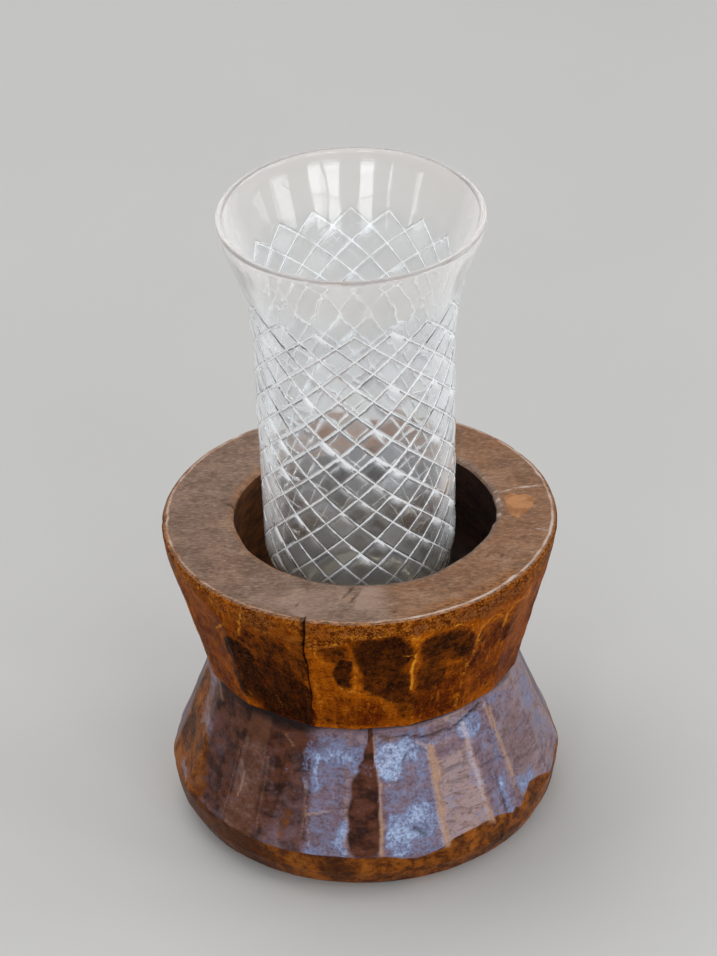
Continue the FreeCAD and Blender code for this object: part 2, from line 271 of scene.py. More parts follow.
def polar(radius, angles, height):
    """Points at a radius, at angles in degrees, at a height."""
    radius, turn, height = np.broadcast_arrays(radius, np.radians(angles), height)
    return np.stack([radius * np.cos(turn), radius * np.sin(turn), height], -1)


def ripple(points, wavelength, seed):
    """Smooth random field over points, mostly from -1 to 1."""
    random = np.random.default_rng(seed)
    waves = 24
    ways = random.normal(size=(waves, 3))
    ways /= np.linalg.norm(ways, axis=1)[:, None]
    ways *= (2 * np.pi / wavelength * random.uniform(0.6, 1.5, waves))[:, None]
    phases = random.uniform(0, 2 * np.pi, waves)
    return np.cos(points @ ways.T + phases).sum(-1) / math.sqrt(waves)


def rounded_line(corners, arc_steps):
    """Points (radius, height) of an outline through corners of (radius, height, rounding)."""
    points = [np.array(corners[0][:2])]
    for before, corner, after in zip(corners, corners[1:], corners[2:]):
        middle = np.array(corner[:2])
        back = np.subtract(before[:2], middle)
        ahead = np.subtract(after[:2], middle)
        back = back / np.linalg.norm(back)
        ahead = ahead / np.linalg.norm(ahead)
        if corner[2] == 0:
            points.append(middle)
            continue
        half = math.acos(np.clip(back @ ahead, -1, 1)) / 2
        inward = (back + ahead) / np.linalg.norm(back + ahead)
        centre = middle + inward * corner[2] / math.sin(half)
        start = middle + back * corner[2] / math.tan(half) - centre
        end = middle + ahead * corner[2] / math.tan(half) - centre
        sweep = math.pi - 2 * half
        for step in range(arc_steps + 1):
            share = step / arc_steps
            spoke = math.sin((1 - share) * sweep) * start + math.sin(share * sweep) * end
            points.append(centre + spoke / math.sin(sweep))
    points.append(np.array(corners[-1][:2]))
    return np.array(points)


def resample(line, spacing):
    """The same outline with points at an even spacing."""
    lengths = np.concatenate([[0], np.cumsum(np.linalg.norm(np.diff(line, axis=0), axis=1))])
    stops = np.linspace(0, lengths[-1], max(2, int(lengths[-1] / spacing) + 1))
    return np.stack([np.interp(stops, lengths, line[:, 0]), np.interp(stops, lengths, line[:, 1])], 1)


def make_object(name, points, faces, materials, face_materials, marks, sharp_angle):
    """Mesh object from points in millimetres, with a material number per face and float marks per point."""
    mesh = bpy.data.meshes.new(name)
    mesh.from_pydata((np.asarray(points) * millimetre).tolist(), [], faces)
    for material in materials:
        mesh.materials.append(material)
    mesh.polygons.foreach_set("material_index", np.asarray(face_materials, np.int32))
    mesh.polygons.foreach_set("use_smooth", np.ones(len(mesh.polygons), bool))
    for mark, values in marks.items():
        attribute = mesh.attributes.new(mark, "FLOAT", "POINT")
        attribute.data.foreach_set("value", np.asarray(values, np.float32))
    mesh.update()
    mesh.set_sharp_from_angle(angle=math.radians(sharp_angle))
    piece = bpy.data.objects.new(name, mesh)
    bpy.context.scene.collection.objects.link(piece)
    return piece


def colour(red, green, blue):
    """Linear colour from the 0 to 255 values of a screen colour."""
    linear = []
    for value in (red, green, blue):
        share = value / 255
        linear.append(share / 12.92 if share <= 0.04045 else ((share + 0.055) / 1.055) ** 2.4)
    return (*linear, 1.0)


class Graph:
    """Short way to write a material's nodes round one Principled shader.

    A colour of three numbers is a screen colour from 0 to 255, and one of four is linear.
    """

    def __init__(self, name):
        self.material = bpy.data.materials.new(name)
        self.material.use_nodes = True
        self.tree = self.material.node_tree
        self.tree.nodes.clear()
        self.shader = self.node("ShaderNodeBsdfPrincipled")
        self.output = self.node("ShaderNodeOutputMaterial")
        self.tree.links.new(self.shader.outputs[0], self.output.inputs[0])
        self.place = self.node("ShaderNodeTexCoord").outputs["Object"]

    def node(self, kind, **settings):
        """New node with its settings."""
        node = self.tree.nodes.new(kind)
        for name, value in settings.items():
            setattr(node, name, value)
        return node

    def put(self, sockets, *values):
        """Links an output into each socket, or sets the socket's own value."""
        for socket, value in zip(sockets, values):
            if isinstance(value, bpy.types.NodeSocket):
                self.tree.links.new(value, socket)
            elif isinstance(value, tuple) and len(value) == 3:
                socket.default_value = colour(*value)
            else:
                socket.default_value = value

    def set(self, **values):
        """Sets or links the shader's own sockets, named with underscores."""
        for name, value in values.items():
            self.put([self.shader.inputs[name.replace("_", " ")]], value)

    def mark(self, name):
        """Float mark of the mesh."""
        return self.node("ShaderNodeAttribute", attribute_name=name).outputs["Fac"]

    def facing(self):
        """From 0 where the surface is seen square on to 1 where it is seen edge on."""
        return self.node("ShaderNodeLayerWeight").outputs["Facing"]

    def total(self, *parts):
        """Sum of values, each times its strength."""
        total = 0.0
        for value, strength in parts:
            node = self.node("ShaderNodeMath", operation="MULTIPLY_ADD")
            self.put(node.inputs, value, strength, total)
            total = node.outputs[0]
        return total

    def step(self, value, low, high, to_low=0.0, to_high=1.0):
        """Soft step of a value."""
        node = self.node("ShaderNodeMapRange", interpolation_type="SMOOTHSTEP")
        self.put(node.inputs, value, low, high, to_low, to_high)
        return node.outputs[0]

    def noise(self, scale, detail=4.0, roughness=0.6, stretch=(1, 1, 1), distortion=0.0, turn=0.0):
        """Noise over the object's own space, turned about the upright axis; scale is in waves per metre."""
        mapping = self.node("ShaderNodeMapping")
        self.put([mapping.inputs["Vector"]], self.place)
        mapping.inputs["Scale"].default_value = stretch
        mapping.inputs["Rotation"].default_value = (0, 0, math.radians(turn))
        node = self.node("ShaderNodeTexNoise")
        sockets = [node.inputs[name] for name in ("Vector", "Scale", "Detail", "Roughness", "Distortion")]
        self.put(sockets, mapping.outputs[0], scale, detail, roughness, distortion)
        return node.outputs["Fac"]

    def uneven(self, mark, *noises):
        """A mark of the mesh with noises of given strengths about their middle added, for a ragged edge."""
        middle = 0.5 * sum(strength for _, strength in noises)
        return self.total((self.mark(mark), 1.0), *noises, (middle, -1.0))

    def mix(self, share, first, second):
        """Mix of two colours."""
        node = self.node("ShaderNodeMix", data_type="RGBA", blend_type="MIX", clamp_factor=True)
        self.put((node.inputs[0], node.inputs[6], node.inputs[7]), share, first, second)
        return node.outputs[2]

    def coats(self, tint, *layers):
        """Coats of paint on a tint: each covers it from nothing at a value's start to a share at its end."""
        for value, start, end, share, paint in layers:
            fade = (start, end, 0.0, share) if start < end else (end, start, share, 0.0)
            tint = self.mix(self.step(value, *fade), tint, paint)
        return tint

    def relief(self, depth, *parts):
        """Bumps so many metres deep, from values and their strengths."""
        node = self.node("ShaderNodeBump")
        self.put((node.inputs["Distance"], node.inputs["Height"]), depth, self.total(*parts))
        self.set(Normal=node.outputs[0])

    def let_lamps_through(self):
        """Glass that throws no dark shadow."""
        through = self.node("ShaderNodeBsdfTransparent")
        through.inputs["Color"].default_value = light_through_glass
        mix = self.node("ShaderNodeMixShader")
        shadow = self.node("ShaderNodeLightPath").outputs["Is Shadow Ray"]
        self.put(mix.inputs, shadow, self.shader.outputs[0], through.outputs[0])
        self.put([self.output.inputs[0]], mix.outputs[0])


def rim_material():
    """Dry, weathered top of the rim: taupe to brown, wrinkled, with worn edges, one flaked patch and a
    painted sheen at the front.
    """
    g = Graph("rim_wood")
    cloud = g.noise(30, 5, 0.6)
    mottle = g.noise(90, 6, 0.66, (0.9, 1.2, 1), 0.5, 18)
    wrinkle = g.noise(320, 6, 0.72, (0.5, 1.3, 1), 0.7, 24)
    pore = g.noise(1000, 4, 0.65, (0.5, 1.3, 1), 0.0, 18)
    varnish = g.coats((92, 54, 24), (pore, 0.42, 0.58, 1, (168, 108, 54)))
    flake = g.coats((156, 102, 62), (mottle, 0.42, 0.58, 1, (186, 130, 84)))
    tint = g.coats(
        (130, 105, 90),
        (g.uneven("tone_and_light", (cloud, 2.0)), 0.1, 0.9, 1, (144, 102, 72)),
        (cloud, 0.5, 0.6, 0.4, (108, 80, 62)),
        (mottle, 0.48, 0.66, 0.45, (166, 134, 110)),
        (mottle, 0.5, 0.34, 0.4, (98, 70, 52)),
        (wrinkle, 0.54, 0.4, 0.36, (84, 61, 47)),
        (pore, 0.52, 0.64, 0.32, (184, 160, 142)),
        (pore, 0.47, 0.36, 0.45, (80, 58, 46)),
        (g.uneven("band", (mottle, 1.4), (pore, 1.2)), 0.25, 1.0, 0.75, varnish),
        # Painted sheen at the front of the rim's top
        (g.uneven("stain_and_sheen", (mottle, 1.2)), 0.2, 0.9, 0.5, (178, 150, 132)),
        (g.uneven("bloom_and_sheen", (mottle, 1.6), (pore, 0.4)), 0.35, 0.7, 0.9, flake),
        (g.uneven("line", (mottle, 1.4), (pore, 0.8)), 0.4, 0.9, 1, (198, 178, 166)),
        (g.uneven("worn", (mottle, 0.5), (pore, 0.4)), 0.25, 1.0, 1, (200, 178, 164)),
    )
    tint = g.mix(g.mark("dark"), tint, (30, 18, 11))
    g.set(Base_Color=tint, Roughness=g.step(wrinkle, 0.3, 0.7, 0.7, 0.5), Specular_IOR_Level=0.18)
    g.relief(0.001, (wrinkle, 0.8), (pore, 0.3))
    return g.material


def bowl_material():
    """Polished side of the bowl: golden to red-brown, dark stains, bright lines, a stippled band."""
    g = Graph("bowl_wood")
    cloud = g.noise(70, 6, 0.62)
    mottle = g.noise(330, 6, 0.76, (1, 1, 1.2), 0.4)
    pebble = g.noise(1250, 4, 0.7)
    level = g.noise(330, 5, 0.7, (0.3, 0.3, 2.2), 0.6)
    upright = g.noise(300, 5, 0.66, (1.6, 1.6, 0.28), 0.5)
    dark = g.coats((20, 6, 1), (upright, 0.42, 0.6, 1, (48, 19, 4)), (pebble, 0.5, 0.64, 0.6, (92, 46, 14)))
    speckle = g.coats((52, 20, 4), (g.total((pebble, 1.0), (mottle, 0.9)), 0.88, 1.08, 1, (166, 96, 30)))
    tint = g.coats(
        (154, 76, 4),
        (g.uneven("tone_and_light", (cloud, 2.2), (mottle, 1.2)), 0.1, 0.9, 1, (80, 24, 1)),
        (upright, 0.52, 0.66, 0.45, (190, 108, 14)),
        (upright, 0.48, 0.34, 0.35, (70, 26, 2)),
        (level, 0.5, 0.62, 0.45, (96, 36, 2)),
        (mottle, 0.5, 0.38, 0.8, (66, 22, 1)),
        (pebble, 0.54, 0.66, 0.4, (190, 112, 24)),
        (g.uneven("stain_and_sheen", (cloud, 1.0), (mottle, 2.6), (pebble, 1.0)), 0.1, 1.0, 1, dark),
        (g.uneven("band", (cloud, 1.8), (mottle, 1.6)), 0.35, 1.05, 0.8, speckle),
        (g.uneven("line", (mottle, 2.0), (pebble, 1.2)), 0.4, 1.15, 1, (214, 138, 36)),
        (g.uneven("bloom_and_sheen", (mottle, 2.2), (pebble, 2.0)), 0.3, 1.2, 1, (82, 56, 48)),
        (g.uneven("worn", (mottle, 0.8), (pebble, 0.6)), 0.4, 0.95, 1, (190, 166, 146)),
    )
    tint = g.mix(g.mark("dark"), tint, (14, 5, 2))
    g.set(Base_Color=tint, Roughness=g.step(mottle, 0.36, 0.64, 0.28, 0.42), Specular_IOR_Level=0.012)
    g.relief(0.0012, (mottle, 0.5), (pebble, 0.3))
    return g.material


def foot_material():
    """Waxed foot: violet-grey to taupe with a painted blue-white sheen and painted glints, pale ridges and an
    orange-brown edge.
    """
    g = Graph("foot_wood")
    cloud = g.noise(60, 6, 0.62)
    mottle = g.noise(260, 6, 0.74, (1, 1, 1), 0.5)
    patch = g.noise(170, 3, 0.55, (0.8, 0.8, 1.3))
    speck = g.noise(900, 4, 0.68)
    scratch = g.noise(300, 5, 0.68, (0.5, 0.5, 1.7), 0.6, 30)
    # Painted sheen: a blue-white reflection painted into the colour
    bloom_and_sheen = g.uneven("bloom_and_sheen", (patch, 1.1), (cloud, 0.6), (speck, 1.4), (mottle, 1.1))
    umber = g.coats(
        (44, 19, 10),
        (patch, 0.38, 0.62, 1, (88, 48, 30)),
        (g.mark("tone_and_light"), 0.3, 1.0, 0.7, (108, 68, 46)),
    )
    orange = g.coats(
        (76, 34, 4),
        (mottle, 0.38, 0.62, 1, (134, 72, 14)),
        (cloud, 0.48, 0.6, 0.7, (46, 21, 7)),
        (cloud, 0.47, 0.38, 0.5, (160, 94, 30)),
        (g.uneven("stain_and_sheen", (cloud, 0.8)), 0.2, 0.9, 0.8, (62, 27, 3)),
    )
    worn = g.coats(
        (176, 140, 114),
        # Pale ridges turn lilac where the painted sheen lies on them
        (g.uneven("bloom_and_sheen", (cloud, 0.6)), 0.35, 0.6, 1, (190, 176, 184)),
        (speck, 0.52, 0.4, 0.35, (140, 102, 82)),
    )
    tint = g.coats(
        (120, 98, 108),
        (g.uneven("tone_and_light", (cloud, 1.4)), 0.15, 0.85, 1, (160, 134, 130)),
        (scratch, 0.52, 0.38, 0.55, (80, 58, 58)),
        (mottle, 0.5, 0.64, 0.4, (158, 138, 140)),
        (g.uneven("stain_and_sheen", (cloud, 0.9), (mottle, 0.9)), 0.1, 0.8, 1, umber),
        # Painted sheen, then brighter painted glints on it
        (bloom_and_sheen, 0.2, 0.9, 0.85, (114, 124, 157)),
        (bloom_and_sheen, 0.7, 1.6, 0.9, (178, 196, 227)),
        (g.total((speck, 1.0), (mottle, 0.5)), 0.74, 0.62, 0.32, (62, 46, 52)),
        (g.uneven("band", (mottle, 1.0), (cloud, 0.8)), 0.3, 0.66, 1, orange),
        (g.uneven("line", (mottle, 0.7), (speck, 0.5)), 0.12, 1.15, 0.9, worn),
    )
    tint = g.mix(g.mark("dark"), tint, (24, 15, 13))
    g.set(Base_Color=tint, Roughness=g.step(speck, 0.36, 0.64, 0.28, 0.44), Specular_IOR_Level=0.08)
    g.relief(0.0013, (scratch, 0.6), (speck, 0.25))
    return g.material


def hollow_material():
    """Dark, scraped inside of the hollow, its left inside wall painted lighter as if lit from the right:
    painted light.
    """
    g = Graph("hollow_wood")
    scrape = g.noise(160, 5, 0.65, (0.5, 0.5, 2.2), 0.4)
    fine = g.noise(700, 3, 0.6)
    dark = g.coats((14, 5, 3), (scrape, 0.35, 0.7, 1, (40, 19, 8)))
    brown = g.coats((42, 21, 7), (scrape, 0.35, 0.7, 1, (88, 50, 20)))
    # Painted light: the left inside wall lighter brown than the rest
    tint = g.coats(g.mix(g.mark("tone_and_light"), dark, brown), (g.mark("worn"), 0.4, 1.0, 1, (150, 124, 108)))
    tint = g.mix(g.mark("dark"), tint, (10, 5, 3))
    g.set(Base_Color=tint, Roughness=g.step(fine, 0.3, 0.7, 0.62, 0.8), Specular_IOR_Level=0.15)
    g.relief(0.0008, (scrape, 1.0), (fine, 0.3))
    return g.material


def glass_material():
    """Clear glass: whiter where seen edge on (a painted highlight) and milky in the flare, yellowish in the
    thick foot, with uneven pads and painted roof shade along their upper edges.
    """
    g = Graph("clear_glass")
    haze = g.noise(70, 4, 0.6)
    wave = g.noise(60, 2, 0.5, (1.4, 1.4, 0.3))
    thick = g.mark("thick")
    edge = g.facing()
    # Painted roof shade along the pads' upper edges, fading where the glass is seen edge on
    roof_shade = g.total((g.mark("roof_shade"), g.step(edge, 0.25, 0.6, 1.0, 0.0)))
    tint = g.mix(g.step(haze, 0.4, 0.6), (0.965, 0.972, 0.975, 1), (0.945, 0.955, 0.968, 1))
    tint = g.mix(g.mark("flare"), tint, (0.96, 0.935, 0.915, 1))
    tint = g.mix(thick, tint, (0.80, 0.69, 0.55, 1))
    tint = g.mix(g.total((thick, g.step(edge, 0.45, 0.85))), tint, (0.62, 0.51, 0.37, 1))
    tint = g.mix(roof_shade, tint, (0.2, 0.205, 0.235, 1))
    tint = g.mix(g.mark("floor"), tint, (0.3, 0.26, 0.2, 1))
    thin = g.total((thick, -1.0), (1.0, 1.0))
    milk = g.total(
        (g.step(g.mark("flare"), 0.0, 1.0, 0.01, 0.08), 1.0),
        (g.total((g.mark("pad"), thin)), 0.2),
        # Painted highlights: white groove walls that look up, and white wedges beside the grooves
        (g.mark("white"), 0.55),
        (roof_shade, 0.3),
        (thick, 0.05),
        # Painted highlight where the glass is seen edge on
        (g.step(edge, 0.4, 0.9, 0.0, 0.5), g.step(thin, 0.0, 1.0, 0.4, 1.0)),
    )
    rough = g.total((g.step(haze, 0.35, 0.75, 0.02, 0.08), 1.0), (g.mark("floor"), 0.3))
    clear = g.total((milk, -1.0), (1.0, 1.0))
    g.set(Base_Color=tint, Roughness=rough, Transmission_Weight=clear, IOR=glass_index)
    g.relief(0.0002, (wave, 1.0))
    g.let_lamps_through()
    return g.material


def lip_material():
    """Rounded lip: thick glass that gathers a pale, faintly pink light."""
    g = Graph("lip_glass")
    haze = g.noise(160, 3, 0.6)
    tint = g.mix(g.step(haze, 0.4, 0.6), (0.96, 0.885, 0.85, 1), (0.955, 0.92, 0.9, 1))
    g.set(Base_Color=tint, Roughness=g.step(haze, 0.35, 0.75, 0.04, 0.1), IOR=glass_index)
    g.set(Transmission_Weight=g.step(g.facing(), 0.3, 0.95, 0.8, 0.5))
    g.relief(0.0001, (haze, 1.0))
    g.let_lamps_through()
    return g.material


def cut_material():
    """Walls of the cut grooves: white along the bottom, a painted highlight where they look up and where seen
    edge on, clear where they look down.
    """
    g = Graph("cut_glass")
    grind = g.noise(900, 3, 0.6)
    tint = g.mix(g.step(grind, 0.4, 0.6), (0.95, 0.96, 0.97, 1), (0.99, 0.99, 1.0, 1))
    tint = g.mix(g.mark("thick"), tint, (0.62, 0.53, 0.40, 1))
    # Painted highlight on the walls that look up
    white = g.step(g.uneven("white", (grind, 1.0), (g.noise(140, 3), 1.6)), 0.2, 0.8)
    # Painted highlight where the wall is seen edge on
    edge = g.step(g.facing(), 0.5, 0.95, 0.0, 0.4)
    clear = g.total((g.step(white, 0.0, 1.0, 0.98, 0.4), 1.0), (edge, -0.9))
    g.set(Base_Color=tint, Roughness=g.step(white, 0.0, 1.0, 0.08, 0.4))
    g.set(Transmission_Weight=clear, IOR=glass_index)
    g.relief(0.0001, (grind, 1.0))
    g.let_lamps_through()
    return g.material


def spots(table, angles, heights):
    """Strongest of a table's rounded spots at each place."""
    strongest = 0.0 * heights
    for angle, height, half_width, half_height, strength in table:
        across = np.abs(turned(angles, angle)) / half_width
        along = np.abs(heights - height) / half_height
        away = (across ** spot_power + along ** spot_power) ** (1 / spot_power)
        strongest = np.maximum(strongest, strength * (1 - smooth(away, 0.7, 1.2)))
    return strongest


def lines(table, angles, heights):
    """Strongest of a table's thin lines at each place."""
    strongest = 0.0 * heights
    per_degree = math.radians(1) * paint_radius
    for angle, height, end_angle, end_height, half_width, strength in table:
        across = turned(angles, angle) * per_degree
        above = heights - height
        run = (end_angle - angle) * per_degree
        rise = end_height - height
        share = np.clip((across * run + above * rise) / (run ** 2 + rise ** 2), 0, 1)
        away = np.hypot(across - share * run, above - share * rise)
        strongest = np.maximum(strongest, strength * bell(away, half_width))
    return strongest


def row_strokes(first, widths):
    """Middle angle and width of each stroke of a full row, in degrees."""
    shares = np.array(widths, float)
    ridges = first + np.concatenate([[0], np.cumsum(shares / shares.sum() * 360)])
    return [((start + end) / 2, end - start) for start, end in zip(ridges, ridges[1:])]


stroke_rows = (
    (row_strokes(bowl_first_ridge, bowl_widths), bowl_stroke),
    (row_strokes(foot_first_ridge, foot_widths), foot_stroke),
    ([(angle, waist_cut_width) for angle in waist_cut_angles], waist_stroke),
)


def stroke_surfaces(strokes, shape, angles, heights):
    """Radius that each stroke leaves, at every height and angle; infinite where it doesn't reach."""
    low, high, middle_height, length, hollow = shape
    slope = np.subtract(high, low)
    slope = slope / np.linalg.norm(slope)
    outward = np.array((slope[1], -slope[0]))
    ridge_radius = low[0] + slope[0] / slope[1] * (middle_height - low[1])
    bend = ((length / 2) ** 2 + hollow ** 2) / (2 * hollow)
    along = (heights - middle_height) / slope[1]
    for _ in range(bend_passes):
        lift = bend - np.sqrt(np.maximum(bend ** 2 - along ** 2, 0))
        along = (heights - middle_height - outward[1] * lift) / slope[1]
    surfaces = []
    for middle, width in strokes:
        chord = ridge_radius * (1 - math.cos(math.radians(width / 2))) + stroke_overlap
        trough = ridge_radius - chord + slope[0] * along + outward[0] * lift
        trough = np.where(np.abs(along) > length / 2, np.inf, trough)
        turn = turned(angles, middle)
        flat = 1 / np.cos(np.radians(np.clip(turn, -stroke_reach, stroke_reach)))
        reach = np.where(np.abs(turn) < stroke_reach, flat, np.inf)
        surfaces.append(trough[:, None] * reach[None, :])
    return np.array(surfaces)


def stand_angles():
    """Columns of the stand's mesh in degrees, close together at the front and the drying crack."""
    front = np.arange(*front_columns)
    front = front[np.abs(front - crack_angle) > 1.0]
    back = np.arange(*back_columns) % 360
    return np.sort(np.concatenate([front, back, crack_angle + np.array(crack_columns)]))


def stand_heights():
    """Rows of the stand's flank, closer together at the waist and the rim."""
    ground = np.arange(0, 21, ground_spacing)
    foot = np.arange(21, 66.4, flank_spacing)
    bowl = np.arange(70, 124, flank_spacing)
    return np.concatenate([ground, foot, waist_rows, bowl, rim_rows])


def block_radius(heights):
    """Radius of the uncut block, with its rounded rim."""
    outline = np.array(block_outline)
    radius = np.interp(heights, outline[:, 1], outline[:, 0])
    above = np.clip(heights - (stand_height - rim_rounding), 0, rim_rounding)
    return radius - rim_rounding + np.sqrt(np.maximum(rim_rounding ** 2 - above ** 2, 0))


def carved_flank(angles, heights):
    """Radius left by the strokes, and of each place its stroke, its depth and its gap to the next stroke."""
    block = block_radius(heights)[:, None] + np.zeros(len(angles))
    surfaces = np.concatenate([stroke_surfaces(*row, angles, heights) for row in stroke_rows])
    first, second = np.sort(surfaces, axis=0)[:2]
    lowest = np.minimum(first, block)
    softness = np.where(heights > waist_height, bowl_softness, foot_softness)[:, None]
    total = np.exp(-(block - lowest) / softness)
    total = total + np.exp(-(np.where(np.isinf(surfaces), 1e6, surfaces) - lowest) / softness).sum(0)
    depth = block - first
    gap = second - first
    depth[np.isinf(first)] = -5
    gap[np.isinf(second)] = 9
    return block, lowest - softness * np.log(total), surfaces.argmin(0), depth, gap


def unseen_paint():
    """Stains and lines of the sides that the photograph doesn't show, in the manner of its front."""
    random = np.random.default_rng(31)
    stains, bowl_streaks, sheens, umbers, foot_streaks = [], [], [], [], []
    for middle, width in stroke_rows[0][0]:
        middle %= 360
        if shown_bowl[0] < middle < shown_bowl[1]:
            continue
        draw = random.uniform(0, 1, 18)
        top = 98 + 16 * draw[0]
        strong = 0.15 + 0.9 * draw[3]
        streak = middle - 6 + 12 * draw[16]
        edge = middle + width / 2
        stains += [
            (middle - 2 + 4 * draw[14], top, width * (0.3 + 0.2 * draw[1]), 5 + 8 * draw[2], strong),
            (middle - 5 + 10 * draw[4], top - 10 - 8 * draw[5], width * (0.14 + 0.24 * draw[6]),
             7 + 9 * draw[7], strong * (0.4 + 0.6 * draw[8])),
            (middle - 7 + 14 * draw[9], 72 + 12 * draw[10], 3 + 5 * draw[11], 3 + 6 * draw[15],
             0.9 * draw[12]),
        ]
        bowl_streaks += [
            (streak, 110, streak - 2 + 4 * draw[17], 84, 1.6, 0.3 + 0.5 * draw[17]),
            (edge, 115 - 8 * draw[13], edge - 1 + 2 * draw[0], 74 + 18 * draw[1], 0.8 + draw[2],
             0.45 + 0.5 * draw[4]),
        ]
    for middle, width in stroke_rows[1][0]:
        middle %= 360
        if shown_foot[0] < middle < shown_foot[1]:
            continue
        draw = random.uniform(0, 1, 12)
        # Painted blue-white sheen on each facet
        sheens += [
            (middle, 48 + 10 * draw[0], width * 0.42, 5 + 5 * draw[1], 0.3 + 0.55 * draw[2]),
            (middle, 24 + 12 * draw[3], width * 0.4, 4 + 5 * draw[4], 0.25 + 0.6 * draw[5]),
        ]
        umbers.append((middle, 38 + 8 * draw[6], width * 0.46, 15 + 12 * draw[7], 1.2 * draw[8] - 0.4))
        edge = middle + width / 2
        foot_streaks.append((edge, 60, edge, 21, 0.6 + 1.2 * draw[9], 0.55 + 0.45 * draw[10]))
    return stains, bowl_streaks, sheens, umbers, foot_streaks


def flank_marks(angles, heights, facet, depth, gap):
    """Paint marks of the flank at every height and angle."""
    stains, bowl_streaks, sheens, umbers, foot_streaks = unseen_paint()
    level = heights[:, None] + 0.0 * depth
    turn = angles[None, :] + 0.0 * depth
    place = polar(block_radius(heights)[:, None], turn, level)
    shift = 0.8 * ripple(place, 13, 31) + 0.4 * ripple(place, 4.5, 32)
    drift = 0.8 * ripple(place, 13, 33) + 0.4 * ripple(place, 4.5, 34)
    at = turn + np.degrees(shift / paint_radius), level + drift
    near = turn + np.degrees(0.35 * shift / paint_radius), level + 0.35 * drift
    bowl = level > waist_height
    inside = smooth(depth, 0.02, 0.22)
    away = smooth(gap, 0.15, 0.6)

    stain_and_sheen = spots((*bowl_stains, *stains), *at)
    outline = 0.7 * bell(stain_and_sheen - 0.12, 0.11) * smooth(level, 97, 105)
    outline = outline * np.where((turn > 222) & (turn < 255), 0.4, 1.0)
    gold = np.maximum(lines((*bowl_lines, *bowl_streaks), *near), outline)
    gold = np.maximum(gold, 0.4 * bell(gap, 0.22) * inside)
    seen = 1 - smooth(np.abs(turned(turn, 268)), 62, 74)
    tone_and_light = spots(bowl_browns, *at) * seen + (0.5 + 0.3 * ripple(place, 40, 35)) * (1 - seen) + 0.15
    pebbled = 112 + 6 * smooth(np.abs(turn - 247), 10, 20)
    band = smooth(level, pebbled - 4, pebbled + 3) * (1 - 0.9 * smooth(stain_and_sheen, 0.3, 0.6))

    umber = spots((*foot_umber, *umbers), *near)
    none = np.zeros(len(bowl_widths))
    shares = np.concatenate([none, foot_sheen_shares, waist_sheen_shares])[facet]
    waist_taupe = np.full(len(waist_cut_angles), waist_taupe_share)
    taupe = np.concatenate([none, foot_taupe_shares, waist_taupe])[facet]
    # Painted blue-white sheen of the foot's facets, less on the red-brown, and none just under the bowl
    bloom_and_sheen = np.maximum(spots((*foot_sheens, *sheens), *at), shares * (0.6 + 0.4 * away)) * (1 - 0.9 * umber)
    bloom_and_sheen = bloom_and_sheen * (1 - smooth(level, 63.5, 65.5))
    pale = np.maximum(lines((*foot_lines, *foot_streaks), *near), 0.35 * bell(gap, 0.25) * inside)
    edge = np.interp(turn, *orange_edge) + 1.5 * ripple(place * (1, 1, 0), 26, 36) * (1 - seen)
    orange = np.maximum(1 - smooth(level, edge - 0.9, edge + 0.9), spots(foot_orange, *at))
    worn = smooth(level, 125.72, 125.94) * np.interp(angles, *rim_wear) * (0.85 + 0.15 * ripple(place, 9, 5))
    return {
        "stain_and_sheen": np.where(bowl, stain_and_sheen, umber),
        "line": np.where(bowl, gold, pale),
        "band": np.where(bowl, band, orange),
        "tone_and_light": np.where(bowl, tone_and_light, taupe * away + 0.3 * (1 - away)),
        # Bowl: mauve spots; foot: its painted sheen
        "bloom_and_sheen": np.where(bowl, spots(bowl_veils, *at), bloom_and_sheen),
        "worn": worn,
        "dark": np.where(bowl, 0.0, lines(foot_creases, *near)),
    }


def flank(angles, heights):
    """Points and marks of the stand's carved outside."""
    block, radius, facet, depth, gap = carved_flank(angles, heights)
    marks = flank_marks(angles, heights, facet, depth, gap)
    around = polar(block, angles[None, :], heights[:, None])
    level = heights[:, None]

    # Hand-carved unevenness, always into the wood
    uneven = 0.16 * (ripple(around, 24, 1) - 1.6) + 0.07 * ripple(around, 7, 2)
    radius = radius + np.minimum(uneven, 0) * smooth(level, 0, 3)
    off_ridge = smooth(gap, 0.2, 0.8)
    foot = (level < waist_height) * smooth(depth, 0.1, 0.5) * off_ridge
    chatter = np.sin(level * 1.15 + angles * 0.16 + 1.3 * ripple(around, 18, 6))
    strength = 0.05 + 0.13 * bell(angles - 301, 6)
    radius = radius - strength * (1 + chatter) * foot
    radius = radius + 0.6 * smooth(level, 45, 62) * off_ridge * (facet == len(bowl_widths) + 1)
    nicks = smooth(ripple(around, 9, 3), 0.9, 1.8) * bell(level - stand_height, 2.2)
    radius = radius - 0.5 * nicks
    radius = radius - 0.35 * marks["dark"]

    # The drying crack of the bowl, a short one of the foot, and painted shade in the seam at the waist under
    # the bowl
    wander = 0.35 * np.sin(heights / 6.5) + 0.25 * np.sin(heights / 2.7 + 1)
    wander = wander - 0.026 * (stand_height - heights)
    offset = (angles - crack_angle) * np.radians(1) * block
    crack = bell(offset, 0.28 + 0.2 * smooth(level, 106, 122)) * smooth(level, 70, 90)
    radius = radius - 1.1 * crack
    ragged = smooth(ripple(around, 3.2, 8) + 0.5 * ripple(around, 9, 9), -0.5, 0.5) * smooth(level, 94, 104)
    ragged = 0.9 * ragged * bell(offset + 0.3, 1.5)
    near = bell(offset, 6.0) * (level > waist_height)
    turn = angles + near * np.degrees(wander[:, None] / block)
    split = bell((angles - 315.6 - 0.02 * level) * 1.2, 0.5) * within(level, 10, 16, 34, 44)
    radius = radius - 0.35 * split
    # Painted shade under the bowl's overhang, reaching less far down where the waist is lit
    lit = within(angles, 246, 256, 320, 334)
    waist_shade = 0.9 * within(level, 62.0 + 3.2 * lit, 66.0 + 1.2 * lit, 68.2, 69.2)
    marks["dark"] = np.clip(marks["dark"] + np.maximum(crack, ragged) + 0.5 * split + waist_shade, 0, 1)
    return polar(radius, turn, level), marks


